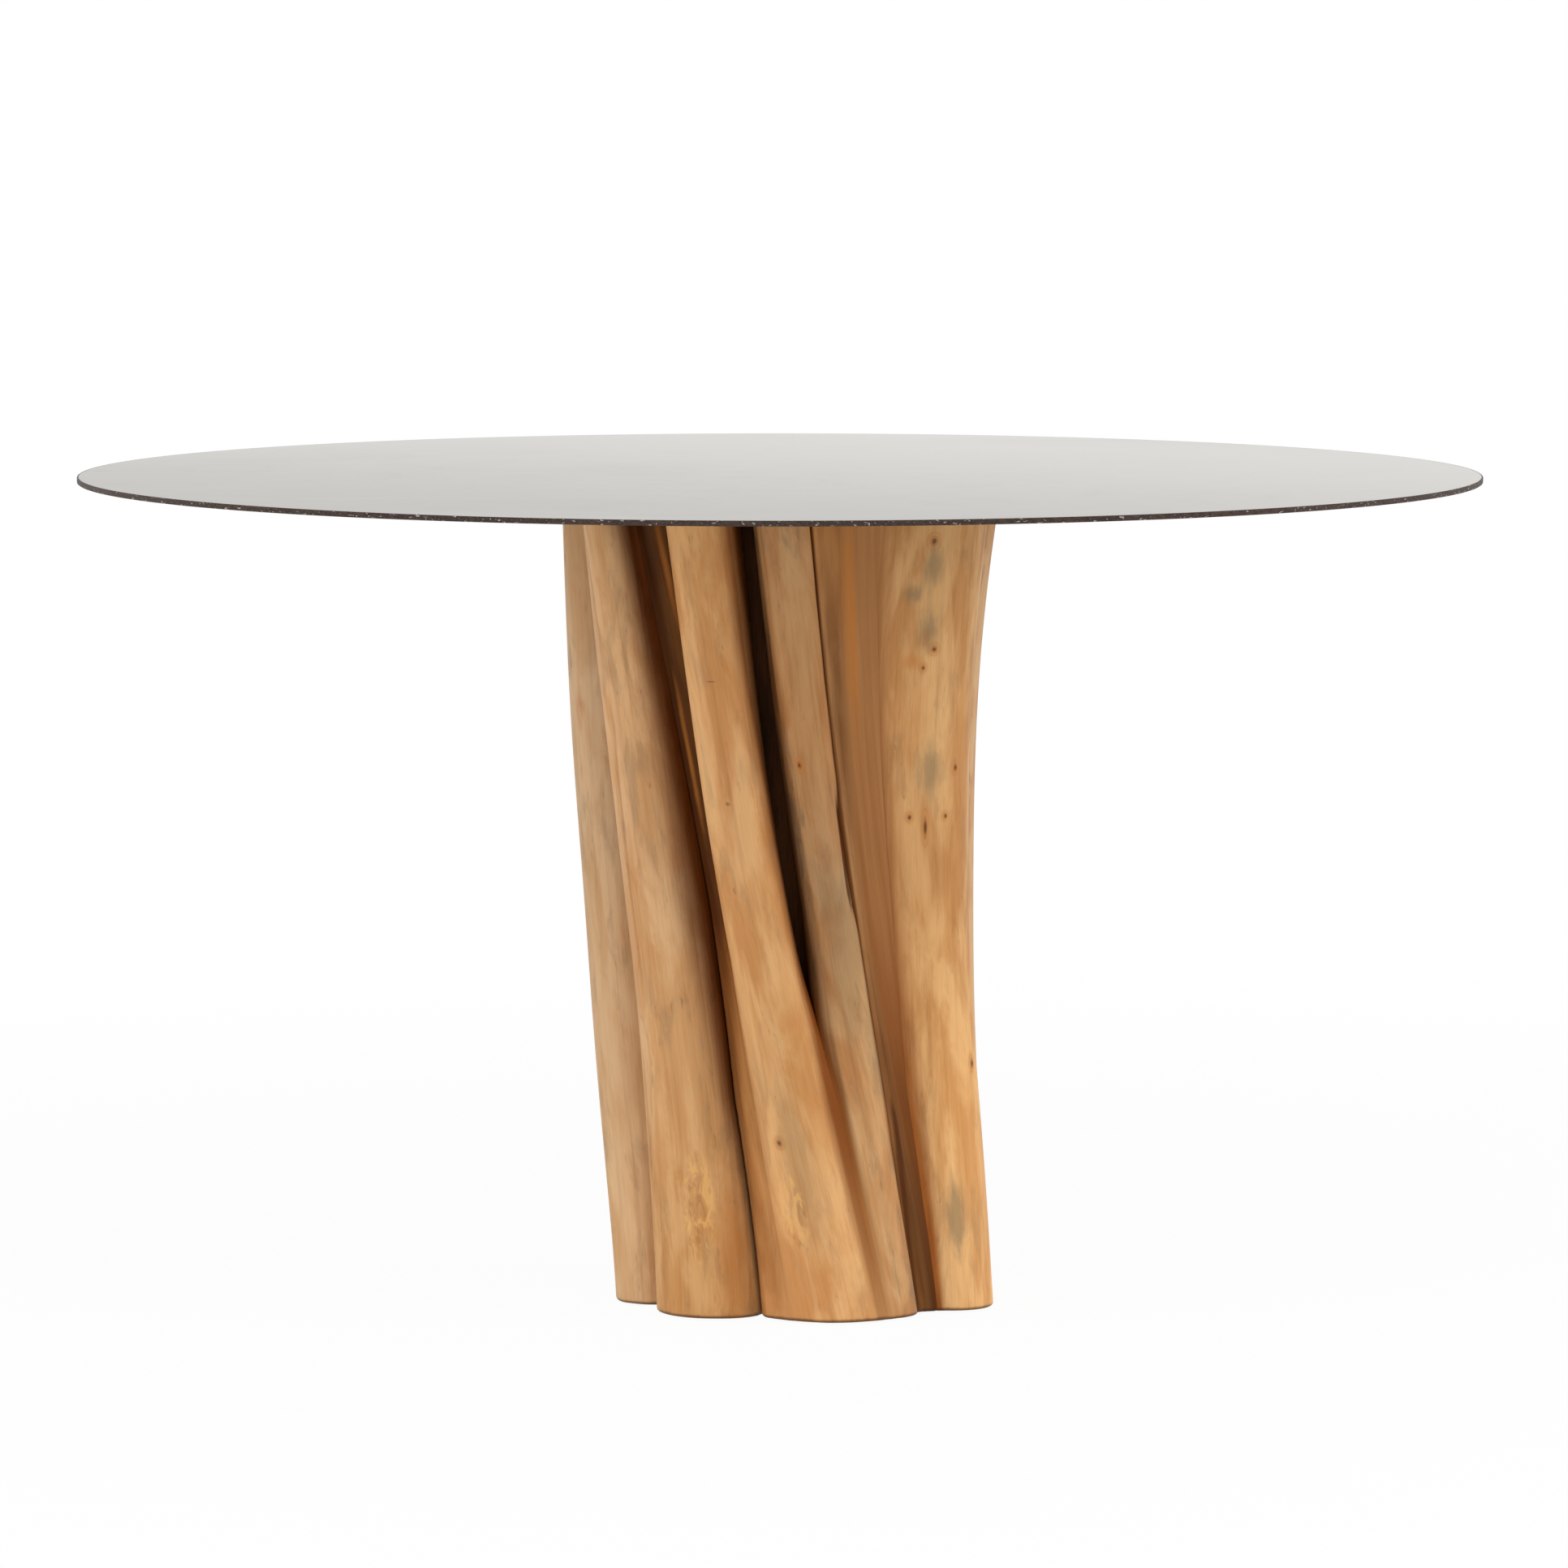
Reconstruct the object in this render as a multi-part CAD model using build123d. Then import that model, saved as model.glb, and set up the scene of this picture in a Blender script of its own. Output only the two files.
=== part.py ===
from build123d import *
import math
import os
from typing import NamedTuple

# A round metal-topped table on a twisted bundle of peeled stems. Millimetres, +Z up.
#
# The origin is on the floor under the centre of the top. A bearing is turned about Z from the
# table's front (-Y) towards +X. A level is a height within the bundle of stems, 0 at its foot and
# 1 at its top. The stems are scribed to a round log in the middle and pinned to it with dowels. A
# steel spider is screwed down on their end grain, and the plate's welded studs bolt to its arms.


class Station(NamedTuple):
    """Where a stem runs at one level, and how thick it is there."""

    bearing: float  # degrees
    inset: float  # from the bundle's round outline in to the stem's back
    radius: float


class Stem(NamedTuple):
    top: Station
    middle: Station
    foot: Station


# ---- the whole table ----
TABLE_HEIGHT = 770.0
TOP_DIAMETER = 1300.0
TOP_THICKNESS = 5.0
FLOOR_GAP = 2.0  # the shadow line under the wood

# ---- the bundle of stems ----
BUNDLE_TOP_RADIUS = 204.0
BUNDLE_FOOT_RADIUS = 176.0
FLARE_POWER = 2.6  # a high power keeps the flare near the top
FOOT_LEAN = 21.0  # the foot stands this far to the right of the top's centre
BOW = 14.0  # and the middle bends this far back to the left
BOW_POWER = 1.3
CORE_TOP_RADIUS = 122.0
CORE_FOOT_RADIUS = 94.0
JOINT_GAP = 0.9  # between the scribed faces of two neighbours
CORE_GAP = 0.8  # between a stem and the core
HOLD_ON_CORE = 0.15  # how much of its own radius a stem would reach past the core's face
LEAST_REACH = 0.2
CORNER_SHARPNESS = 8.0
OUTLINE_POINTS = 42
OUTLINE_ARCS = 3
LOFT_STEPS = 12

# Round the bundle from the left side, past the front and the right side, to the back.
STEMS = [
    Stem(Station(-97, 0, 37), Station(-88, 0, 36), Station(-80, 0, 38)),
    Stem(Station(-63.5, 0, 28), Station(-44, 0, 46), Station(-40, -2, 55)),
    Stem(Station(-49, 33, 27), Station(-21, 35, 25), Station(-5, 24, 29)),
    Stem(Station(-26.5, 1, 31), Station(-7.5, 0, 30), Station(11.6, -2, 43)),
    Stem(Station(0, 6, 27), Station(19, 8, 21.5), Station(36, 15, 28)),
    Stem(Station(12.5, 20, 34), Station(27, 19, 28), Station(48, 21, 23)),
    Stem(Station(60.5, -9, 62), Station(66, -9, 48), Station(66, -14, 38)),
    Stem(Station(96, -2, 36), Station(95, -2, 34), Station(97, 4, 34)),
    Stem(Station(118, 3, 36), Station(119, 2, 36), Station(121, 2, 37)),
    Stem(Station(143, -2, 42), Station(145, 0, 42), Station(149, -2, 44)),
    Stem(Station(170, 6, 38), Station(173, 5, 36), Station(177, 4, 34)),
    Stem(Station(196, 0, 42), Station(200, 1, 41), Station(204, 0, 42)),
    Stem(Station(222, 5, 38), Station(226, 4, 36), Station(232, 4, 38)),
    Stem(Station(245, 0, 38), Station(250, -1, 37), Station(257, -1, 40)),
]

# ---- the dowels that pin each stem to the core ----
DOWEL_DIAMETER = 12.0
DOWEL_LENGTH = 50.0
LOWER_RING_HEIGHT = 150.0  # above the floor
UPPER_RING_DEPTH = 149.0  # below the top of the wood
DOWEL_STAGGER = 40.0  # every second dowel of a ring lies this much nearer the middle of the bundle
FIT_CLEARANCE = 0.05  # radial, for dowels, screws, threads and inserts

# ---- the spider and its fixings ----
SPIDER_THICKNESS = 8.0
HUB_MARGIN = 19.0  # from the bundle's top outline in to the hub's rim
ARM_COUNT = 4
ARM_WIDTH = 50.0
FIRST_STUD_OFFSET = 55.0  # beyond the hub's rim
STUD_SPACING = 90.0
ARM_END_MARGIN = 20.0
STUD_DIAMETER = 8.0
STUD_HOLE_DIAMETER = 9.0
STUD_TAIL = 2.0  # past the nut
WASHER_DIAMETER = 16.0
WASHER_THICKNESS = 1.6
NUT_ACROSS_FLATS = 13.0
NUT_HEIGHT = 6.5

STEM_SCREW_DIAMETER = 5.0
STEM_SCREW_LENGTH = 50.0
STEM_SCREW_HEAD = 11.0
CORE_SCREW_DIAMETER = 8.0
CORE_SCREW_LENGTH = 80.0
CORE_SCREW_HEAD = 16.0
CORE_SCREW_COUNT = 4
CORE_SCREW_CIRCLE = 120.0

# ---- the levelling feet ----
FOOT_STEMS = (2, 7, 10, 13)  # the stems that stand on a foot, by number
PAD_DIAMETER = 36.0
PAD_THICKNESS = 5.0
RECESS_CLEARANCE = 1.5  # round the pad
RECESS_ROOM = 1.0  # over the pad, for screwing it in
FOOT_THREAD_DIAMETER = 10.0
THREAD_IN_PAD = 3.0
INSERT_DIAMETER = 14.0
INSERT_LENGTH = 18.0
FOOT_TRAVEL = 10.0  # how far a foot screws out
STUD_BORE_CLEARANCE = 1.0

# ---- worked out ----
PLATE_UNDERSIDE = TABLE_HEIGHT - TOP_THICKNESS
BUNDLE_TOP = PLATE_UNDERSIDE - SPIDER_THICKNESS
BUNDLE_HEIGHT = BUNDLE_TOP - FLOOR_GAP
HUB_RADIUS = BUNDLE_TOP_RADIUS - HUB_MARGIN
STUD_CIRCLES = (HUB_RADIUS + FIRST_STUD_OFFSET, HUB_RADIUS + FIRST_STUD_OFFSET + STUD_SPACING)
ARM_LENGTH = STUD_CIRCLES[-1] + ARM_END_MARGIN
RECESS_ROOF = PAD_THICKNESS + RECESS_ROOM
INSERT_TOP = RECESS_ROOF + INSERT_LENGTH
FOOT_STUD_TOP = INSERT_TOP + FOOT_TRAVEL
NUT_UNDERSIDE = BUNDLE_TOP - WASHER_THICKNESS - NUT_HEIGHT
LOWER_RING = (LOWER_RING_HEIGHT, LOWER_RING_HEIGHT + DOWEL_STAGGER)
UPPER_RING = (BUNDLE_TOP - UPPER_RING_DEPTH, BUNDLE_TOP - UPPER_RING_DEPTH - DOWEL_STAGGER)


# ---- the shape of the bundle ----
def height_at(level):
    return FLOOR_GAP + level * BUNDLE_HEIGHT


def level_at(height):
    return (height - FLOOR_GAP) / BUNDLE_HEIGHT


def compass(bearing):
    """The horizontal direction at a bearing in radians."""
    return Vector(math.sin(bearing), -math.cos(bearing))


def bundle_centre(level):
    return Vector(FOOT_LEAN * (1 - level) - BOW * math.sin(math.pi * level**BOW_POWER), 0)


def bundle_radius(level):
    return BUNDLE_FOOT_RADIUS + (BUNDLE_TOP_RADIUS - BUNDLE_FOOT_RADIUS) * level**FLARE_POWER


def core_radius(level):
    return CORE_FOOT_RADIUS + (CORE_TOP_RADIUS - CORE_FOOT_RADIUS) * level


def soft_min(distances):
    """The smallest distance, with the corners between one and the next eased."""
    total = sum(distance**-CORNER_SHARPNESS for distance in distances)
    return total ** (-1 / CORNER_SHARPNESS)


class Spot:
    """A stem's place and size at one level, on the parabola through its three stations."""

    def __init__(self, stem, level):
        weights = (level * (2 * level - 1), 4 * level * (1 - level), (1 - level) * (1 - 2 * level))
        bearing, inset, self.radius = (
            sum(weight * value for weight, value in zip(weights, values)) for values in zip(*stem)
        )
        self.bearing = math.radians(bearing)
        self.middle = bundle_centre(level)
        self.core_face = core_radius(level)
        self.offset = bundle_radius(level) - inset - self.radius
        self.centre = self.middle + compass(self.bearing) * self.offset

    def free_radius(self, turn):
        """Round on the outside, and drawn out towards the core on the inside."""
        to_core = (self.offset - self.core_face) / self.radius - 1 + HOLD_ON_CORE
        inward = max(0.0, -math.cos(turn))
        return self.radius * (1 + max(LEAST_REACH, to_core) * inward**2)

    def to_neighbour(self, other, heading):
        """The distance to the line that parts two stems, half a joint gap short of it."""
        between = other.centre - self.centre
        apart = between.length
        facing = heading.dot(between) / apart
        if facing <= 0:
            return math.inf
        line = (apart**2 + self.radius**2 - other.radius**2) / (2 * apart)
        return (line - JOINT_GAP / 2) / facing

    def to_core(self, heading):
        """The distance to the core's face, short of it by the core gap."""
        from_middle = self.centre - self.middle
        along = heading.dot(from_middle)
        face = self.core_face + CORE_GAP
        under_root = along**2 - from_middle.length**2 + face**2
        if along >= 0 or under_root <= 0:
            return math.inf
        return -along - math.sqrt(under_root)


def stem_outline(stem, level):
    """The points round one stem's section."""
    spot = Spot(stem, level)
    others = [Spot(other, level) for other in STEMS if other is not stem]
    points = []
    for step in range(OUTLINE_POINTS):
        turn = 2 * math.pi * step / OUTLINE_POINTS
        heading = compass(spot.bearing + turn)
        walls = [spot.to_neighbour(other, heading) for other in others]
        reach = soft_min([spot.free_radius(turn), spot.to_core(heading), *walls])
        points.append(spot.centre + heading * reach)
    return points


def stem_section(stem, level):
    """All sections share their spline parameters and the places where the loop is cut into arcs, so
    that the loft runs straight from each level to the next."""
    lift = Vector(0, 0, height_at(level))
    points = [point + lift for point in stem_outline(stem, level)]
    parameters = [step / OUTLINE_POINTS for step in range(OUTLINE_POINTS + 1)]
    loop = Edge.make_spline(points, periodic=True, parameters=parameters)
    arcs = [loop.trim(arc / OUTLINE_ARCS, (arc + 1) / OUTLINE_ARCS) for arc in range(OUTLINE_ARCS)]
    return Face(Wire(arcs))


def core_section(level):
    place = bundle_centre(level) + Vector(0, 0, height_at(level))
    return Pos(place) * Circle(core_radius(level))


def through_levels(section):
    """A loft through the section at each level."""
    return loft([section(step / LOFT_STEPS) for step in range(LOFT_STEPS + 1)])


# ---- round pieces and holes ----
def rod(bottom, top, radius):
    """An upright cylinder from one point to another above it."""
    place = Pos(bottom.X, bottom.Y, bottom.Z)
    return place * Cylinder(radius, top - bottom.Z, align=(Align.CENTER, Align.CENTER, Align.MIN))


def countersunk_screw(place, diameter, length, head, clearance=0.0):
    """A flat-headed screw under the plate; with a clearance, the hole that takes it."""
    shank = diameter / 2 + clearance
    rim = head / 2 + clearance
    cone_height = (head - diameter) / 2
    cone = Cone(shank, rim, cone_height, align=(Align.CENTER, Align.CENTER, Align.MAX))
    tip = Vector(place.X, place.Y, PLATE_UNDERSIDE - length - clearance)
    return rod(tip, PLATE_UNDERSIDE, shank) + Pos(place.X, place.Y, PLATE_UNDERSIDE) * cone


def stem_screw(stem, clearance=0.0):
    place = Spot(stem, 1).centre
    return countersunk_screw(place, STEM_SCREW_DIAMETER, STEM_SCREW_LENGTH, STEM_SCREW_HEAD, clearance)


def core_screw(number, clearance=0.0):
    bearing = 2 * math.pi * number / CORE_SCREW_COUNT
    place = compass(bearing) * (CORE_SCREW_CIRCLE / 2)
    return countersunk_screw(place, CORE_SCREW_DIAMETER, CORE_SCREW_LENGTH, CORE_SCREW_HEAD, clearance)


def core_screws(clearance=0.0):
    return [core_screw(number, clearance) for number in range(CORE_SCREW_COUNT)]


def dowel(place, heights, clearance=0.0):
    """A radial peg, half in the core and half in its stem, at one of its ring's two heights."""
    height = heights[place % 2]
    spot = Spot(STEMS[place], level_at(height))
    outward = compass(spot.bearing)
    origin = spot.middle + outward * spot.core_face + Vector(0, 0, height)
    lying = Plane(origin=origin, z_dir=outward)
    return lying * Cylinder(DOWEL_DIAMETER / 2 + clearance, DOWEL_LENGTH + 2 * clearance)


def dowel_ring(heights, clearance=0.0):
    return [dowel(place, heights, clearance) for place in range(len(STEMS))]


def foot_place(number, height):
    centre = Spot(STEMS[number - 1], 0).centre
    return Vector(centre.X, centre.Y, height)


def foot_recess(number):
    """The recess for a pad, the hole for its insert and the bore over that."""
    recess = rod(foot_place(number, 0), RECESS_ROOF, PAD_DIAMETER / 2 + RECESS_CLEARANCE)
    socket = rod(foot_place(number, 0), INSERT_TOP, INSERT_DIAMETER / 2 + FIT_CLEARANCE)
    bore_radius = FOOT_THREAD_DIAMETER / 2 + STUD_BORE_CLEARANCE
    bore = rod(foot_place(number, 0), FOOT_STUD_TOP + STUD_BORE_CLEARANCE, bore_radius)
    return recess + socket + bore


# ---- the pieces ----
def make_stem(number):
    stem = STEMS[number - 1]
    wood = through_levels(lambda level: stem_section(stem, level))
    holes = [stem_screw(stem, FIT_CLEARANCE)]
    for heights in (LOWER_RING, UPPER_RING):
        ring = dowel_ring(heights, FIT_CLEARANCE)
        # A neighbour's dowel may pass through the flank of this stem on its way to the core.
        holes += [ring[place % len(STEMS)] for place in (number - 2, number - 1, number)]
    if number in FOOT_STEMS:
        holes.append(foot_recess(number))
    return wood - holes


def make_core_log():
    holes = dowel_ring(LOWER_RING, FIT_CLEARANCE) + dowel_ring(UPPER_RING, FIT_CLEARANCE)
    return through_levels(core_section) - holes - core_screws(FIT_CLEARANCE)


def stud_places(height):
    """Where the plate's studs stand: at 45 degrees to the axes, several along each arm."""
    places = []
    for arm in range(ARM_COUNT):
        outward = compass(2 * math.pi * (arm + 0.5) / ARM_COUNT)
        places += [outward * circle + Vector(0, 0, height) for circle in STUD_CIRCLES]
    return places


def make_spider():
    plan = Circle(HUB_RADIUS)
    for arm in range(ARM_COUNT):
        bearing = 360 * (arm + 0.5) / ARM_COUNT
        strip = Rectangle(ARM_WIDTH, ARM_LENGTH, align=(Align.CENTER, Align.MAX))
        plan += Rot(0, 0, bearing) * strip
    spider = Pos(0, 0, BUNDLE_TOP) * extrude(plan, SPIDER_THICKNESS)
    holes = [rod(place, PLATE_UNDERSIDE, STUD_HOLE_DIAMETER / 2) for place in stud_places(BUNDLE_TOP)]
    holes += [stem_screw(stem, FIT_CLEARANCE) for stem in STEMS] + core_screws(FIT_CLEARANCE)
    return spider - holes


def make_table_top():
    return rod(Vector(0, 0, PLATE_UNDERSIDE), TABLE_HEIGHT, TOP_DIAMETER / 2)


def make_weld_studs():
    return [rod(place, PLATE_UNDERSIDE, STUD_DIAMETER / 2) for place in stud_places(NUT_UNDERSIDE - STUD_TAIL)]


def ring_on_stud(blank, place):
    """A washer's or nut's blank, bored for the stud and set at its place."""
    bore = Cylinder(
        STUD_DIAMETER / 2 + FIT_CLEARANCE,
        NUT_HEIGHT + WASHER_THICKNESS,
        align=(Align.CENTER, Align.CENTER, Align.MIN),
    )
    return Pos(place.X, place.Y, place.Z) * (blank - bore)


def make_top_washers():
    blank = extrude(Circle(WASHER_DIAMETER / 2), WASHER_THICKNESS)
    return [ring_on_stud(blank, place) for place in stud_places(BUNDLE_TOP - WASHER_THICKNESS)]


def make_top_nuts():
    corner_radius = NUT_ACROSS_FLATS / 2 / math.cos(math.pi / 6)
    blank = extrude(RegularPolygon(corner_radius, 6), NUT_HEIGHT)
    return [ring_on_stud(blank, place) for place in stud_places(NUT_UNDERSIDE)]


def make_foot_insert(number):
    sleeve = rod(foot_place(number, RECESS_ROOF), INSERT_TOP, INSERT_DIAMETER / 2)
    return sleeve - rod(foot_place(number, RECESS_ROOF), INSERT_TOP, FOOT_THREAD_DIAMETER / 2 + FIT_CLEARANCE)


def make_foot_stud(number):
    bottom = foot_place(number, PAD_THICKNESS - THREAD_IN_PAD)
    return rod(bottom, FOOT_STUD_TOP, FOOT_THREAD_DIAMETER / 2)


def make_foot_pad(number):
    pad = rod(foot_place(number, 0), PAD_THICKNESS, PAD_DIAMETER / 2)
    socket_radius = FOOT_THREAD_DIAMETER / 2 + FIT_CLEARANCE
    return pad - rod(foot_place(number, PAD_THICKNESS - THREAD_IN_PAD), PAD_THICKNESS, socket_radius)


def write(node, *shapes):
    """One file for a node: its single solid, or a group of separate ones."""
    solids = [solid for shape in shapes for solid in shape.solids()]
    export_step(solids[0] if len(solids) == 1 else Compound(solids), f"parts/{node}.step")


def main():
    os.makedirs("parts", exist_ok=True)
    write("table_top", make_table_top())
    write("mounting_spider", make_spider())
    write("weld_studs", *make_weld_studs())
    write("top_washers", *make_top_washers())
    write("top_nuts", *make_top_nuts())
    write("stem_screws", *[stem_screw(stem) for stem in STEMS])
    write("core_screws", *core_screws())
    write("core_log", make_core_log())
    write("lower_dowels", *dowel_ring(LOWER_RING))
    write("upper_dowels", *dowel_ring(UPPER_RING))
    for number in range(1, len(STEMS) + 1):
        write(f"stem_{number:02d}", make_stem(number))
    write("foot_inserts", *[make_foot_insert(number) for number in FOOT_STEMS])
    for place, number in enumerate(FOOT_STEMS, start=1):
        write(f"foot_stud_{place}", make_foot_stud(number))
        write(f"foot_pad_{place}", make_foot_pad(number))


main()
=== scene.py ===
import math
from typing import NamedTuple

import bmesh
import bpy
import numpy as np
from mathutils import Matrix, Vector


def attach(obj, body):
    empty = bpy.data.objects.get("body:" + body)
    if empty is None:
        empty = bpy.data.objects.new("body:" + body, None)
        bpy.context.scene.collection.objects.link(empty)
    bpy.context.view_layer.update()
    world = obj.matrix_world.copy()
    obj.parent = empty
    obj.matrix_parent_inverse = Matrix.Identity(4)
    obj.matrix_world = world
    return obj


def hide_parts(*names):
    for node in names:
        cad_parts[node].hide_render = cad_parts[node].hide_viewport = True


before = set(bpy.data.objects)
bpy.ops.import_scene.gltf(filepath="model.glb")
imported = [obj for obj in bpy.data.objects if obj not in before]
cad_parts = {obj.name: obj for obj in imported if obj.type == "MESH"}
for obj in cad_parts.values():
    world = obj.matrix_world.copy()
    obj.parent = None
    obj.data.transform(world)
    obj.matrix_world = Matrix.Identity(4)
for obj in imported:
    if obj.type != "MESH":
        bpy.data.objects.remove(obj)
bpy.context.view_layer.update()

MM = 0.001

# The dressed table: peeled stems with their grain, knots and stains, a patinated steel top with a
# hand-cut rim, and the turned and threaded fixings. Shapes are worked out in millimetres and
# become metres as their mesh is made. A bearing is turned about Z from the front (-Y) towards +X,
# and a stem's turn starts at the line along it that faces straight out of the bundle.


# ---- camera, room and light ----
CAMERA_PLACE = (0.0037, -8.958, 1.326)  # metres
CAMERA_TILT = 5.385  # degrees down from level
LENS_LENGTH = 222.4
SENSOR_WIDTH = 36


class Softbox(NamedTuple):
    """A rectangular lamp, in metres and watts."""

    name: str
    place: tuple
    target: tuple
    width: float
    height: float
    power: float


SOFTBOXES = [
    Softbox("left_softbox", (-3.2, -1.3, 1.1), (0, 0, 0.35), 1.8, 1.4, 44),
    Softbox("right_softbox", (3.2, -1.0, 1.2), (0, 0, 0.3), 1.8, 1.4, 52),
    Softbox("front_softbox", (-0.5, -4.6, 1.6), (0, 0, 0.3), 2.4, 1.6, 28),
    Softbox("high_softbox", (0.2, -2.9, 3.1), (0, 0, 0.2), 2.4, 1.4, 22),
]
ROOM_LIGHT = 0.5
ROOM_WHITE = (255, 254, 252)
FLOOR_WHITE = (244, 243, 241)
GLOW_WHITE = (255, 255, 255)
SHADOW_FLOOR = 900  # the floor takes shadows this far out, in millimetres
PLAIN_FLOOR = 3200  # and from here on it only glows
FLOOR_SIZE = 60000


def place_camera():
    data = bpy.data.cameras.new("camera")
    data.lens = LENS_LENGTH
    data.sensor_width = SENSOR_WIDTH
    camera = bpy.data.objects.new("camera", data)
    camera.location = CAMERA_PLACE
    camera.rotation_euler = (math.radians(90 - CAMERA_TILT), 0, 0)
    bpy.context.scene.collection.objects.link(camera)
    bpy.context.scene.camera = camera
    bpy.context.scene.view_settings.view_transform = "Standard"


def hang_softbox(softbox):
    data = bpy.data.lights.new(softbox.name, "AREA")
    data.shape = "RECTANGLE"
    data.size = softbox.width
    data.size_y = softbox.height
    data.energy = softbox.power
    lamp = bpy.data.objects.new(softbox.name, data)
    lamp.location = softbox.place
    direction = np.subtract(softbox.target, softbox.place)
    lamp.rotation_euler = Vector(direction).to_track_quat("-Z", "Y").to_euler()
    lamp.visible_glossy = False
    bpy.context.scene.collection.objects.link(lamp)


# ---- finishes ----
def paint(red, green, blue):
    """A colour as it is seen, 0 to 255, in the linear values that a shader takes."""
    def linear(value):
        value /= 255
        return value / 12.92 if value <= 0.04045 else ((value + 0.055) / 1.055) ** 2.4

    return (linear(red), linear(green), linear(blue), 1.0)


class Field:
    """A value that varies over a surface. Arithmetic on it adds Math nodes to its finish."""

    def __init__(self, finish, socket):
        self.finish = finish
        self.socket = socket

    def math(self, operation, *values):
        return self.finish.add("ShaderNodeMath", {"operation": operation}, dict(enumerate(values)))

    def __add__(self, other):
        return self.math("ADD", self, other)

    def __radd__(self, other):
        return self.math("ADD", other, self)

    def __sub__(self, other):
        return self.math("SUBTRACT", self, other)

    def __rsub__(self, other):
        return self.math("SUBTRACT", other, self)

    def __mul__(self, other):
        return self.math("MULTIPLY", self, other)

    def __truediv__(self, other):
        return self.math("DIVIDE", self, other)

    def __pow__(self, other):
        return self.math("POWER", self, other)

    def largest(self, other):
        return self.math("MAXIMUM", self, other)

    def sine(self):
        return self.math("SINE", self)

    def between(self, low, high, start=0.0, end=1.0):
        """A soft step: start below low, end above high."""
        settings = {"interpolation_type": "SMOOTHSTEP", "clamp": True}
        values = {"Value": self, "From Min": low, "From Max": high, "To Min": start, "To Max": end}
        return self.finish.add("ShaderNodeMapRange", settings, values)


class Finish:
    """The look of a material or of the world, while it is being made up."""

    def __init__(self, owner):
        self.owner = owner
        owner.use_nodes = True
        self.tree = owner.node_tree
        self.tree.nodes.clear()

    def add(self, kind, settings, values, output=0):
        """A node of any kind: its settings first, then the values or links of its sockets."""
        node = self.tree.nodes.new(kind)
        for setting, value in settings.items():
            setattr(node, setting, value)
        for name, value in values.items():
            if isinstance(value, Field):
                self.tree.links.new(value.socket, node.inputs[name])
            else:
                node.inputs[name].default_value = value
        return Field(self, node.outputs[output]) if node.outputs else None

    def ramp(self, factor, stops):
        """The colours of some stops, and what lies between them, as a factor goes from 0 to 1."""
        colours = self.add("ShaderNodeValToRGB", {}, {"Fac": factor})
        elements = colours.socket.node.color_ramp.elements
        while len(elements) < len(stops):
            elements.new(0.5)
        for element, (position, colour) in zip(elements, stops):
            element.position = position
            element.color = colour
        return colours

    def parts(self, vector):
        """The three numbers of a vector."""
        node = self.add("ShaderNodeSeparateXYZ", {}, {0: vector}).socket.node
        return [Field(self, socket) for socket in node.outputs]

    def place(self):
        """Where a point is on the table, in millimetres."""
        coordinates = self.add("ShaderNodeTexCoord", {}, {}, output="Object")
        return [axis * (1 / MM) for axis in self.parts(coordinates)]

    def grain(self):
        """Where a point is on its stem: millimetres around from the outward line, and along."""
        coordinates = self.add("ShaderNodeUVMap", {"uv_map": "grain"}, {})
        return [axis * (1 / MM) for axis in self.parts(coordinates)[:2]]

    def cloud(self, place, lengths, seed, detail=3.0, roughness=0.55, distortion=0.0):
        """Soft noise between 0 and 1, stretched to a length along each axis."""
        axes = {number: axis / length for number, (axis, length) in enumerate(zip(place, lengths))}
        if len(place) == 2:
            axes[2] = seed
        vector = self.add("ShaderNodeCombineXYZ", {}, axes)
        shape = {"Scale": 1.0, "Detail": detail, "Roughness": roughness, "Distortion": distortion}
        values = {"Vector": vector, "W": seed, **shape}
        return self.add("ShaderNodeTexNoise", {"noise_dimensions": "4D"}, values)

    def mix(self, first, second, factor, blend="MIX"):
        settings = {"data_type": "RGBA", "blend_type": blend}
        return self.add("ShaderNodeMix", settings, {0: factor, 6: first, 7: second}, output=2)

    def bump(self, height, distance):
        """Relief whose height of 1 stands for a distance in millimetres."""
        values = {"Height": height, "Distance": distance * MM, "Strength": 1.0}
        return self.add("ShaderNodeBump", {}, values)

    def surface(self, **values):
        """Ends the material with its shader. An underscore stands for a space in a name."""
        values = {name.replace("_", " "): value for name, value in values.items()}
        shader = self.add("ShaderNodeBsdfPrincipled", {}, values)
        self.add("ShaderNodeOutputMaterial", {}, {"Surface": shader})
        return self.owner

    def also_seen(self, shader, colour, share):
        """A shader seen partly as a plain glow by eye, gloss and glass. Light meets it as it is."""
        eye, gloss, glass = (
            self.add("ShaderNodeLightPath", {}, {}, output=f"Is {kind} Ray")
            for kind in ("Camera", "Glossy", "Transmission")
        )
        seen = eye.largest(gloss).largest(glass) * share
        glow = self.add("ShaderNodeEmission", {}, {"Color": colour, "Strength": 1.0})
        return self.add("ShaderNodeMixShader", {}, {0: seen, 1: shader, 2: glow})


def material_finish(name):
    return Finish(bpy.data.materials.new(name))


def pale_floor():
    """Takes the table's shadow near it, and is as pale as its surroundings further out."""
    finish = material_finish("pale_floor")
    x, y, _ = finish.place()
    far = (x * x + y * y) ** 0.5
    matt = finish.add("ShaderNodeBsdfDiffuse", {}, {"Color": paint(*FLOOR_WHITE)})
    share = far.between(SHADOW_FLOOR, PLAIN_FLOOR, 0.95, 1.0)
    seen = finish.also_seen(matt, paint(*GLOW_WHITE), share)
    finish.add("ShaderNodeOutputMaterial", {}, {"Surface": seen})
    return finish.owner


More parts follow.
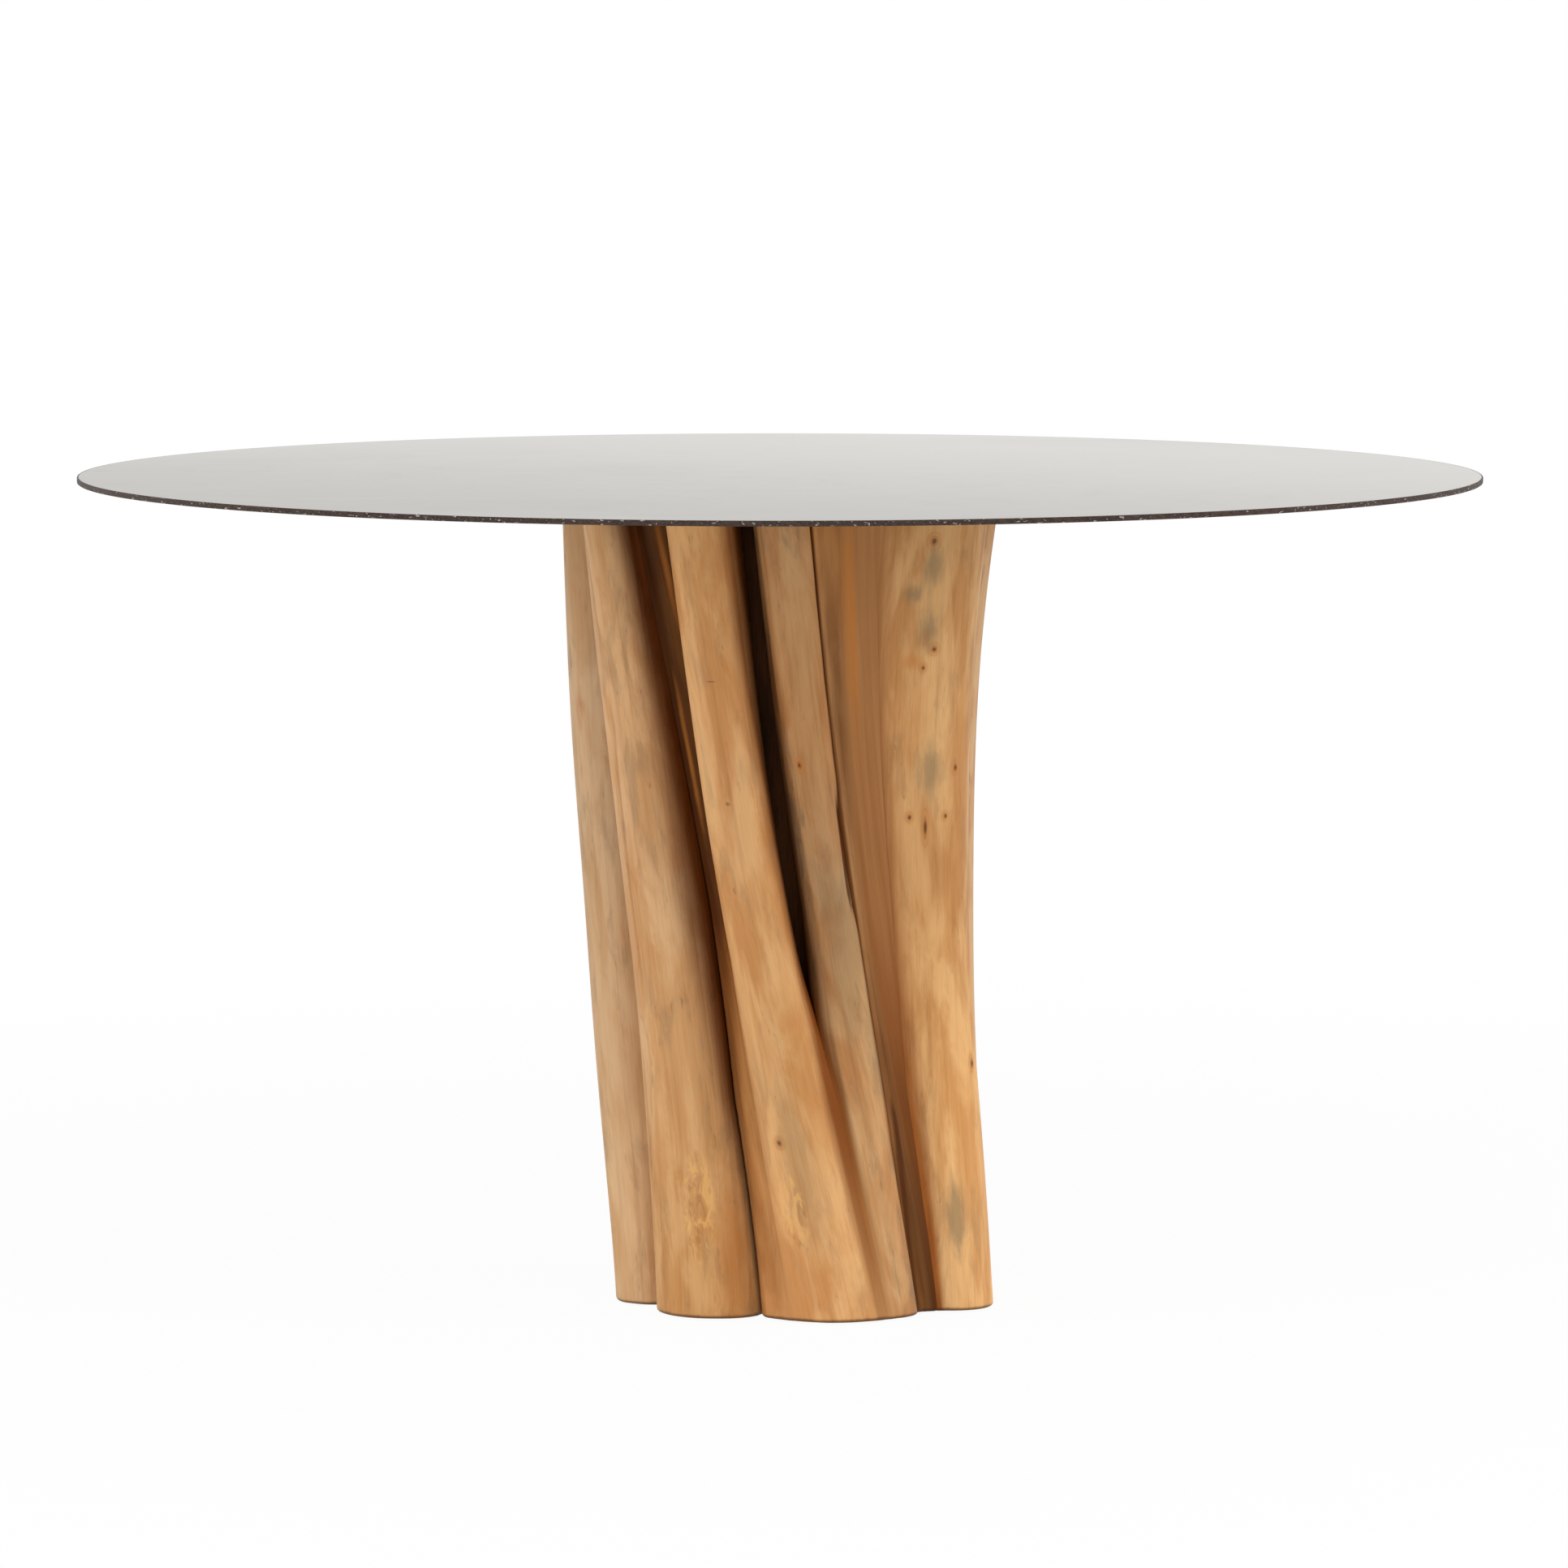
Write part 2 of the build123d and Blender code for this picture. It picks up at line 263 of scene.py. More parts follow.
def white_surroundings():
    world = bpy.data.worlds.new("white_surroundings")
    bpy.context.scene.world = world
    finish = Finish(world)
    values = {"Color": paint(*ROOM_WHITE), "Strength": ROOM_LIGHT}
    light = finish.add("ShaderNodeBackground", {}, values)
    seen = finish.also_seen(light, paint(*GLOW_WHITE), 1.0)
    finish.add("ShaderNodeOutputWorld", {}, {"Surface": seen})


# ---- meshes ----
WELD_DISTANCE = 1e-6  # metres


def ring(radius, height, angles, centre=(0, 0)):
    """A level ring of points at some angles. One radius serves for all, or each has its own."""
    flat = [centre[0] + radius * np.cos(angles), centre[1] + radius * np.sin(angles)]
    return np.stack([*flat, np.full(len(angles), float(height))], axis=1)


def evenly(count):
    return np.arange(count) * 2 * math.pi / count


def skin(name, rings, closed=False):
    """A mesh through rings of points, given from the lower middle by way of the outside to the
    upper middle. A ring of no radius becomes a pole when the mesh is finished."""
    count = len(rings[0])
    steps = len(rings) if closed else len(rings) - 1
    faces = []
    for step in range(steps):
        low, high = step * count, (step + 1) % len(rings) * count
        for place in range(count):
            beside = (place + 1) % count
            faces.append((low + place, low + beside, high + beside, high + place))
    mesh = bpy.data.meshes.new(name)
    mesh.from_pydata((np.concatenate(rings) * MM).tolist(), [], faces)
    return mesh


def finished(name, mesh, material, body, slot, *nodes):
    """Welds a mesh, makes an object of it, and sets that in the frame in place of its CAD nodes."""
    work = bmesh.new()
    work.from_mesh(mesh)
    bmesh.ops.remove_doubles(work, verts=work.verts, dist=WELD_DISTANCE)
    bmesh.ops.recalc_face_normals(work, faces=work.faces)
    work.to_mesh(mesh)
    work.free()
    mesh.materials.clear()
    mesh.materials.append(material)
    mesh.shade_smooth()
    thing = bpy.data.objects.new(name, mesh)
    bpy.context.scene.collection.objects.link(thing)
    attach(thing, body)
    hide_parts(*nodes)


# ---- the stems ----
TABLE_HEIGHT = 770.0
TOP_DIAMETER = 1300.0
TOP_THICKNESS = 5.0
SPIDER_THICKNESS = 8.0
PLATE_UNDERSIDE = TABLE_HEIGHT - TOP_THICKNESS
WOOD_FOOT = 2.0
WOOD_TOP = PLATE_UNDERSIDE - SPIDER_THICKNESS
BUNDLE_TOP_RADIUS = 204.0
BUNDLE_FOOT_RADIUS = 176.0
FLARE_POWER = 2.6  # a high power keeps the flare near the top
FOOT_LEAN = 21.0  # the foot stands this far to the right of the top's centre
BOW = 14.0  # and the middle bends this far back to the left
BOW_POWER = 1.3
CORE_TOP_RADIUS = 122.0
CORE_FOOT_RADIUS = 94.0
JOINT_GAP = 0.9  # between the scribed faces of two neighbours
CORE_GAP = 0.8  # between a stem and the core
HOLD_ON_CORE = 0.15  # how much of its own radius a stem would reach past the core's face
LEAST_REACH = 0.2


class Station(NamedTuple):
    """Where a stem runs at one level, and how thick it is there."""

    bearing: float  # degrees
    inset: float  # from the bundle's round outline in to the stem's back
    radius: float


class Stem(NamedTuple):
    top: Station
    middle: Station
    foot: Station


STEMS = [
    Stem(Station(-97, 0, 37), Station(-88, 0, 36), Station(-80, 0, 38)),
    Stem(Station(-63.5, 0, 28), Station(-44, 0, 46), Station(-40, -2, 55)),
    Stem(Station(-49, 33, 27), Station(-21, 35, 25), Station(-5, 24, 29)),
    Stem(Station(-26.5, 1, 31), Station(-7.5, 0, 30), Station(11.6, -2, 43)),
    Stem(Station(0, 6, 27), Station(19, 8, 21.5), Station(36, 15, 28)),
    Stem(Station(12.5, 20, 34), Station(27, 19, 28), Station(48, 21, 23)),
    Stem(Station(60.5, -9, 62), Station(66, -9, 48), Station(66, -14, 38)),
    Stem(Station(96, -2, 36), Station(95, -2, 34), Station(97, 4, 34)),
    Stem(Station(118, 3, 36), Station(119, 2, 36), Station(121, 2, 37)),
    Stem(Station(143, -2, 42), Station(145, 0, 42), Station(149, -2, 44)),
    Stem(Station(170, 6, 38), Station(173, 5, 36), Station(177, 4, 34)),
    Stem(Station(196, 0, 42), Station(200, 1, 41), Station(204, 0, 42)),
    Stem(Station(222, 5, 38), Station(226, 4, 36), Station(232, 4, 38)),
    Stem(Station(245, 0, 38), Station(250, -1, 37), Station(257, -1, 40)),
]
FOOT_STEMS = (2, 7, 10, 13)
FOOT_HOLE = ((19.5, 6), (7.05, 24), (6, 35))  # pad, insert and stud: radius, and where it ends
TURNS_ROUND_STEM = 144
LEVELS_ALONG_STEM = 190
FOOT_ARRIS = 4.0
TOP_ARRIS = 1.5
CORNER_SHARPNESS = 28
ARRIS_STEPS = 6
VALLEY_REACH = 20.0  # how near its neighbour a stem's own swells die out
BLEND_STEPS = 12  # tries at the height of a blend between two neighbours
BLEND_LIMIT = 80.0
LONE_BLEND = 10.0  # up to this blend two neighbours stay two stems to the eye
KIN_BLEND = 50.0  # and from this one on they look like one


class Joint(NamedTuple):
    """How two neighbours meet, in millimetres at the levels of JOINT_LEVELS."""

    blend: tuple = (12, 12, 12, 12)  # how widely one flows into the other
    parted: tuple = (0, 0, 0, 0)  # how far each stands back from the line between them
    painted_shade: tuple = (0.4, 0.5, 0.6, 0.6)  # how dark its painted shade makes the valley, from 0 to 1
    spread: tuple = (24, 24, 24, 24)  # how far out of the valley that goes
    shift: tuple = (0, 0, 0, 0)  # how far their line is drawn from the second stem to the first


JOINT_LEVELS = (0, 0.27, 0.5, 1)
PLAIN_JOINT = Joint()
JOINTS = {
    (1, 2): Joint(blend=(10, 8, 6, 6), parted=(-2, -2, -1, -1), painted_shade=(0.35, 0.4, 0.45, 0.5)),
    (2, 3): Joint(
        blend=(5, 5, 4, 10), parted=(1.2, 0.8, 0.2, -1.5),
        painted_shade=(0.1, 0.85, 1, 1), spread=(6, 34, 70, 54), shift=(0, 4, 0, 0),
    ),
    (3, 4): Joint(
        blend=(30, 26, 6, 4), parted=(-3, -2, 0, 0.5),
        painted_shade=(0.1, 0.3, 0.8, 0.9), spread=(16, 14, 10, 10), shift=(-4, -8, 0, 0),
    ),
    (4, 5): Joint(
        blend=(64, 48, 8, 0), parted=(-5, -4, 5, 8),
        painted_shade=(0.45, 1, 1, 1), spread=(20, 28, 42, 52), shift=(5, 3, 0, 0),
    ),
    (5, 6): Joint(
        blend=(8, 14, 22, 18), parted=(0, -1, 0.4, 0.6),
        painted_shade=(0.6, 0.6, 0.9, 0.9), spread=(7, 8, 8, 7), shift=(8, 6, 6, 3),
    ),
    (6, 7): Joint(
        blend=(18, 34, 80, 124), parted=(-2, -8, -16, -18),
        painted_shade=(1, 0.88, 0.62, 0.5), spread=(14, 40, 60, 64), shift=(0, 10, 22, 28),
    ),
    (7, 8): Joint(blend=(10, 8, 8, 6), parted=(-1, -1, -1, -1)),
}


def compass(bearing):
    return np.stack([np.sin(bearing), -np.cos(bearing)])


def bundle_centre(level):
    bow = BOW * np.sin(math.pi * level**BOW_POWER)
    return np.stack([FOOT_LEAN * (1 - level) - bow, 0 * level])


class Run:
    """One stem's line and thickness over a row of levels."""

    def __init__(self, stem, level):
        down = 1 - level
        weights = np.stack([level * (2 * level - 1), 4 * level * down, down * (1 - 2 * level)])
        bearing, inset, self.radius = np.array(stem).T @ weights
        self.bearing = np.radians(bearing)
        self.middle = bundle_centre(level)
        self.core_face = CORE_FOOT_RADIUS + (CORE_TOP_RADIUS - CORE_FOOT_RADIUS) * level
        flare = (BUNDLE_TOP_RADIUS - BUNDLE_FOOT_RADIUS) * level**FLARE_POWER
        self.offset = BUNDLE_FOOT_RADIUS + flare - inset - self.radius
        self.centre = self.middle + compass(self.bearing) * self.offset


def stem_reach(number, level, turn):
    """How far a stem's face lies from its centre line, level by turn, and three things from 0 to 1
    that belong to each place on it: how close a neighbour is, how much painted shade lies in the
    valley between the two, and how much they have grown into one."""
    run = Run(STEMS[number - 1], level)
    heading = compass(run.bearing[:, None] + turn[None, :])
    to_core = (run.offset - run.core_face) / run.radius - 1 + HOLD_ON_CORE
    inward = np.maximum(0, -np.cos(turn))[None, :] ** 2
    free = run.radius[:, None] * (1 + np.maximum(LEAST_REACH, to_core)[:, None] * inward)
    face = run.centre[:, :, None] + heading * free
    raised = free.copy()
    closeness = painted_shade = kin = 0 * free
    walls = []
    for other, stem in enumerate(STEMS, start=1):
        if other == number:
            continue
        joint = JOINTS.get((min(number, other), max(number, other)), PLAIN_JOINT)
        blend, parted, dark, spread, shift = (
            np.interp(level, JOINT_LEVELS, sizes)[:, None] for sizes in joint
        )
        beside = Run(stem, level)
        between = beside.centre - run.centre
        apart = np.hypot(*between)
        facing = np.einsum("alt,al->lt", heading, between) / apart[:, None]
        line = ((apart**2 + run.radius**2 - beside.radius**2) / (2 * apart))[:, None]
        line = line + shift * (1 if number > other else -1)
        rise = 0
        for _ in range(BLEND_STEPS):
            off_middle = np.hypot(*(face + heading * rise - beside.centre[:, :, None]))
            away = off_middle - beside.radius[:, None]
            overlap = np.clip(1 - np.abs(away - rise) / np.maximum(blend, 0.1), 0, 1)
            merging = overlap**2 * blend / 4
            rise = np.clip(rise + merging - np.minimum(rise, away), 0, BLEND_LIMIT)
        raised = np.maximum(raised, free + rise)
        off_line = 2 * np.maximum(line + np.minimum(parted, 0) - (free + rise) * facing, 0)
        near = np.clip(1 - off_line / VALLEY_REACH, 0, 1)
        closeness = np.maximum(closeness, near)
        likeness = np.clip((blend - LONE_BLEND) / (KIN_BLEND - LONE_BLEND), 0, 1)
        kin = np.maximum(kin, near * likeness)
        # painted shade in the valley between the two, fading out over the spread
        painted_shade = np.maximum(painted_shade, np.clip(1 - off_line / spread, 0, 1) * dark)
        wall = (line - JOINT_GAP / 2 - parted) / np.maximum(facing, 1e-6)
        walls.append(np.where(facing > 1e-6, wall, np.inf))
    from_middle = run.centre - run.middle
    along = np.einsum("alt,al->lt", heading, from_middle)
    off_core = np.hypot(*from_middle) ** 2 - (run.core_face + CORE_GAP) ** 2
    under_root = along**2 - off_core[:, None]
    meets = (along < 0) & (under_root > 0)
    wall = np.maximum(-along - np.sqrt(np.where(meets, under_root, 1)), 1)
    walls.append(np.where(meets, wall, np.inf))
    total = sum(wall**-CORNER_SHARPNESS for wall in (raised, *walls))
    return total ** (-1 / CORNER_SHARPNESS), closeness, painted_shade, kin


FLUTES = ((1, 0.7), (2, 0.6), (3, 0.6), (5, 0.45), (7, 0.3), (11, 0.16))  # how many, how high
SWELL_LENGTHS = (260, 900)
SWELL_SHARE = 0.45


def wander(number, height, turn):
    """The slow swells and flutes of a stem that grew, in millimetres."""
    chance = np.random.default_rng(number * 7 + 3)
    relief = 0
    for flutes, size in FLUTES:
        for _ in range(2):
            length = chance.uniform(*SWELL_LENGTHS)
            start = chance.uniform(0, 2 * math.pi)
            way = chance.choice([-1, 1])
            waves = 2 * math.pi * height[:, None] / length + way * flutes * turn[None, :] + start
            relief = relief + size * np.sin(waves)
    return relief * SWELL_SHARE


class Mark(NamedTuple):
    """Something to be seen on a stem's face: where it is across the front and over the floor, and
    its width and height, in millimetres."""

    kind: str
    stem: int
    across: float
    height: float
    wide: float
    tall: float


MARKS = [
    Mark("knot", 4, 0, 168, 5, 6),
    Mark("knot", 7, 177, 230, 5, 8),
    Mark("knot", 7, 141, 717, 7, 8),
    Mark("knot", 7, 141, 617, 6, 6),
    Mark("knot", 7, 131, 600, 4, 5),
    Mark("amber", 7, 120, 606, 26, 18),
    Mark("amber", 7, 134, 628, 16, 22),
    Mark("knot", 5, 18, 515, 5, 7),
    Mark("knot", 7, 151, 462, 4, 5),
    Mark("knot", 7, 160, 506, 5, 7),
    Mark("knot", 7, 119, 462, 4, 5),
    Mark("bud", 7, 133, 452, 4, 17),
    Mark("stain", 7, 140, 694, 24, 38),
    Mark("stain", 7, 122, 668, 18, 20),
    Mark("stain", 7, 137, 636, 22, 40),
    Mark("stain", 7, 138, 506, 26, 54),
    Mark("stain", 7, 163, 88, 22, 62),
    Mark("smoke", 5, 60, 352, 44, 170),
    Mark("smoke", 4, 18, 150, 30, 160),
    Mark("smoke", 5, 94, 250, 26, 110),
    Mark("figure", 2, -74, 105, 34, 100),
    Mark("figure", 4, 12, 105, 26, 80),
    Mark("amber", 6, 63, 640, 17, 260),
    Mark("amber", 6, 66, 660, 9, 200),
    Mark("amber", 2, -44, 70, 36, 190),
    Mark("amber", 5, 78, 80, 16, 150),
    Mark("amber", 3, -104, 690, 8, 120),
    Mark("amber", 3, -83, 520, 7, 160),
    Mark("scar", 4, -63, 592, 12, 2),
    Mark("scar", 4, -48, 480, 6, 5),
]
KNOT_RISE = 1.1
KNOT_SPREAD = 0.9  # of its size, for the swelling round a knot


class Fold(NamedTuple):
    """A ridge or furrow along a stem's face: points across the front and over the floor, how wide
    and how high it is, in millimetres, and how much painted shade darkens it."""

    stem: int
    line: tuple
    wide: float
    rise: float
    painted_shade: float = 0.0


FOLDS = [
    Fold(2, ((-128, 322), (-138, 395), (-146, 469), (-153, 543)), 3.0, -1.0, 0.35),
    Fold(2, ((-60, 277), (-73, 336), (-83, 388)), 9.0, -0.5, 0.3),
    Fold(3, ((-3, 27), (-12, 115), (-27, 189)), 4.5, -1.2, 0.2),
    Fold(4, ((18, 27), (1, 115), (-14, 211)), 7.0, 1.4),
    Fold(5, ((95, 12), (88, 56), (76, 108), (64, 160), (52, 211)), 7.0, -1.5, 0.3),
    Fold(5, ((111, 27), (106, 71), (97, 123), (80, 189)), 7.0, 2.2),
    Fold(5, ((64, 401), (59, 440), (56, 463)), 3.6, -3.0, 1.0),
    Fold(6, ((54, 497), (46, 560), (40, 616)), 3.0, -0.6, 0.7),
    Fold(6, ((126, 12), (120, 60), (115, 110), (107, 180)), 6.0, -1.5, 0.9),
    Fold(7, ((76, 469), (77, 528), (74, 580)), 4.0, -1.0, 0.75),
    Fold(7, ((111, 211), (102, 285), (95, 358), (91, 469)), 8.0, -0.8, 0.3),
    Fold(7, ((164, 506), (162, 580), (160, 646), (155, 705)), 2.6, -0.8, 0.25),
    Fold(7, ((164, 616), (167, 646), (169, 720)), 3.5, -0.8, 0.2),
]
FOLD_RUN_OUT = 45.0
TURNS_TRIED = 1441
PULL_TO_FRONT = 0.02  # a place at the front is taken before one behind it
TURNS_MEASURED = 60


def stem_levels():
    """Heights up a stem and how far its end's rounded arris draws it in there."""
    quarter = np.linspace(0, math.pi / 2, ARRIS_STEPS)
    foot = WOOD_FOOT + FOOT_ARRIS * (1 - np.cos(quarter))
    top = WOOD_TOP - TOP_ARRIS * (1 - np.cos(quarter))[::-1]
    shaft = np.linspace(foot[-1], top[0], LEVELS_ALONG_STEM)[1:-1]
    round_off = 1 - np.sin(quarter)
    drawn_in = np.concatenate([FOOT_ARRIS * round_off, 0 * shaft, TOP_ARRIS * round_off[::-1]])
    return np.concatenate([foot, shaft, top]), drawn_in


def stem_turns():
    """Turns once round a stem, closer together on its open face."""
    even = np.linspace(-1, 1, TURNS_ROUND_STEM + 1)
    return math.pi * (0.6 * even + 0.4 * even**3)


def level_of(height):
    return (height - WOOD_FOOT) / (WOOD_TOP - WOOD_FOOT)


def on_stem(number, across, height):
    """The turn on a stem at which the front of its section lies that far across."""
    turn = np.linspace(-math.pi, math.pi, TURNS_TRIED)
    level = np.array([level_of(height)])
    run = Run(STEMS[number - 1], level)
    x, y = run.centre + compass(run.bearing + turn) * stem_reach(number, level, turn)[0][0]
    return turn[np.argmin(np.abs(x - across) + PULL_TO_FRONT * y)]


def grain_place(number, across, height):
    """That place on the stem's own map: millimetres around from the outward line, and along."""
    turn = np.linspace(0, on_stem(number, across, height), TURNS_MEASURED)
    reach = stem_reach(number, np.array([level_of(height)]), turn)[0][0]
    steps = np.hypot(np.diff(reach), reach[1:] * np.diff(turn))
    return math.copysign(steps.sum(), turn[-1]), height


def fold_profile(fold, around, height):
    """How much of a fold there is at each point, from 0 to 1."""
    places = [grain_place(fold.stem, across, up) for across, up in fold.line]
    line = np.interp(height, [up for _, up in places], [across for across, _ in places])[:, None]
    low, high = fold.line[0][1], fold.line[-1][1]
    ends = np.clip(1 + np.minimum(height - low, high - height) / FOLD_RUN_OUT, 0, 1)
    return np.exp(-(((around - line) / fold.wide) ** 2)) * (ends**2 * (3 - 2 * ends))[:, None]


def stem_surface(number):
    """The stem's rings, its map's coordinates at them, and how much painted shade each point takes
    and how much of its neighbour."""
    height, drawn_in = stem_levels()
    level = level_of(height)
    turn = stem_turns()
    reach, closeness, painted_shade, kin = stem_reach(number, level, turn)
    relief = wander(number, height, turn)
    around = np.cumsum(np.hypot(np.diff(reach), reach[:, 1:] * np.diff(turn)), axis=1)
    around = np.pad(around, ((0, 0), (1, 0)))
    around -= around[:, TURNS_ROUND_STEM // 2][:, None]
    for mark in MARKS:
        if mark.stem == number and mark.kind in ("knot", "bud"):
            across, up = grain_place(number, mark.across, mark.height)
            sideways = (around - across) / (mark.wide * KNOT_SPREAD)
            lengthways = (height[:, None] - up) / (mark.tall * KNOT_SPREAD)
            relief += KNOT_RISE * np.exp(-(sideways**2 + lengthways**2))
    reach += relief * (1 - closeness) ** 2 - drawn_in[:, None]
    for fold in (fold for fold in FOLDS if fold.stem == number):
        profile = fold_profile(fold, around, height)
        reach += fold.rise * profile
        # a furrow takes painted shade as well
        painted_shade = np.maximum(painted_shade, fold.painted_shade * profile)
    run = Run(STEMS[number - 1], level)
    heading = compass(run.bearing[:, None] + turn[None, :])
    flat = run.centre[:, :, None] + heading * reach
    points = np.stack([flat[0], flat[1], np.repeat(height[:, None], len(turn), axis=1)], axis=2)
    return points, around, height, {"painted_shade": painted_shade, "kin": kin}


def foot_profile(number):
    """Radii and heights from the rim of a stem's sawn foot to its middle, by way of any hole."""
    profile = []
    height = WOOD_FOOT
    for radius, end in FOOT_HOLE if number in FOOT_STEMS else ():
        profile += [(radius, height), (radius, end)]
        height = end
    return [*profile, (0, height)]


def make_stem_mesh(number):
    """A stem's skin, with the map that its grain follows: its side unrolled, and its ends flat
    about their middles."""
    points, around, height, shares = stem_surface(number)
    rings = list(points[:, :-1])
    run = Run(STEMS[number - 1], np.array([0.0, 1.0]))
    foot_centre, top_centre = run.centre.T
    angles = run.bearing[0] - math.pi / 2 + stem_turns()[:-1]
    profile = reversed(foot_profile(number))
    below = [ring(radius, level, angles, foot_centre) for radius, level in profile]
    shape = [*below, *rings, ring(0, WOOD_TOP, angles, top_centre)]
    mesh = skin(f"stem_{number:02d}_grown", shape)
    ends = np.zeros((len(below), TURNS_ROUND_STEM))
    for name, share in shares.items():
        values = np.concatenate([ends, share[:, :-1], ends[:1]])
        mesh.attributes.new(name, "FLOAT", "POINT").data.foreach_set("value", values.ravel())
    corners = np.empty(len(mesh.loops), int)
    mesh.loops.foreach_get("vertex_index", corners)
    spots = np.concatenate(shape)[corners].reshape(-1, TURNS_ROUND_STEM, 4, 3)[..., :2]
    places = spots - top_centre
    places[: len(below)] = spots[: len(below)] - foot_centre
    side = slice(len(below), -1)
    low, high = around[:-1], around[1:]
    places[side, ..., 0] = np.stack([low[:, :-1], low[:, 1:], high[:, 1:], high[:, :-1]], axis=2)
    low, high = height[:-1], height[1:]
    places[side, ..., 1] = np.stack([low, low, high, high], axis=1)[:, None]
    mesh.uv_layers.new(name="grain").data.foreach_set("uv", (places * MM).ravel())
    return mesh


# ---- the wood ----
# What the whole of a stem is multiplied by: heights over the floor, and a colour for each. Each
# # mixes the stem's own tone with painted shade under the top and in the grooves.
SHADE_UNDER_TOP = (
    (100, (255, 255, 255)), (230, (246, 246, 246)), (420, (238, 240, 244)),
    (560, (234, 237, 244)), (720, (240, 241, 244)),
)
LIGHT_SHADE_UNDER_TOP = (
    (100, (255, 255, 255)), (230, (244, 243, 240)), (420, (244, 244, 244)),
    (560, (244, 244, 246)), (720, (255, 254, 250)),
)
RIPE_FOOT = (
    (20, (244, 234, 214)), (140, (246, 238, 222)), (260, (250, 248, 244)),
    (420, (244, 242, 242)), (720, (252, 248, 244)),
)
SHADE_AND_TINT_MIDWAY = (
    (100, (255, 255, 255)), (250, (248, 246, 242)), (400, (222, 221, 221)),
    (550, (220, 208, 196)), (640, (230, 224, 216)), (720, (240, 238, 236)),
)
STOUT = (
    (60, (255, 255, 255)), (200, (250, 246, 240)), (420, (222, 215, 208)),
    (560, (228, 225, 221)), (720, (219, 214, 209)),
)
BROWN_DARKER_UPWARDS = (
    (20, (240, 230, 220)), (190, (218, 202, 182)), (300, (196, 174, 148)),
    (400, (152, 132, 100)), (520, (124, 104, 68)), (640, (126, 108, 74)),
)
DEEP_VALLEY = (
    (20, (148, 130, 102)), (120, (154, 134, 104)), (250, (168, 146, 116)),
    (350, (206, 190, 172)), (420, (204, 196, 186)), (540, (186, 172, 158)),
    (620, (206, 198, 190)), (720, (236, 222, 202)),
)


class Look(NamedTuple):
    """A stem's colours and how much of each it shows."""

    pale: tuple
    deep: tuple
    grey: float  # how much of it has weathered grey
    shade: tuple = (128, 88, 54)  # the colour of the painted shade on its flanks
    tones: tuple = SHADE_UNDER_TOP  # and the whole of it, by height, with painted shade under the top


TAN = (219, 176, 128)
HONEY = (224, 174, 119)
SAND = (208, 167, 122)
ORANGE = (198, 138, 82)
AMBER = (186, 118, 58)
BROWN = (112, 64, 32)
UMBER = (84, 48, 24)
GREY = (140, 118, 92)
JOINT_WOOD = (196, 146, 94)  # what two stems share that have grown into one
JOINT_SHADE = (166, 128, 90)
PALE_STREAK = (230, 190, 140)
FIBRE_SHADE = (205, 180, 152)
FLECK_SHADE = (150, 104, 66)
FOOT_SHADOW = (72, 42, 22)
STAIN = (124, 106, 80)
STAIN_DEPTH = {"stain": 0.62, "smoke": 0.34}
RESIN = (182, 112, 48)
FIGURE_PALE = (228, 176, 108)
FIGURE_DEEP = (164, 116, 66)
SCAR = (120, 78, 46)
LOOKS = [
    Look((214, 176, 134), (200, 156, 110), 0.35, (186, 142, 98)),
    Look((218, 176, 130), (200, 150, 100), 0.4, (118, 80, 44), RIPE_FOOT),
    Look((210, 158, 104), (174, 120, 70), 0.1, (180, 158, 134), BROWN_DARKER_UPWARDS),
    Look(HONEY, ORANGE, 0.25, (160, 116, 70), LIGHT_SHADE_UNDER_TOP),
    Look((206, 162, 114), (180, 126, 78), 0.7, (104, 76, 48), SHADE_AND_TINT_MIDWAY),
    Look((200, 152, 102), (170, 120, 74), 0.3, (178, 154, 126), DEEP_VALLEY),
    Look((236, 188, 130), (206, 148, 90), 0.3, (172, 126, 80), STOUT),
    Look(TAN, (192, 138, 88), 0.4),
    Look(SAND, ORANGE, 0.3),
    Look(TAN, (196, 140, 88), 0.45),
    Look((206, 158, 108), (178, 122, 72), 0.3),
    Look(HONEY, (198, 142, 90), 0.3),
    Look(SAND, (186, 134, 86), 0.5),
    Look(TAN, ORANGE, 0.35),
]


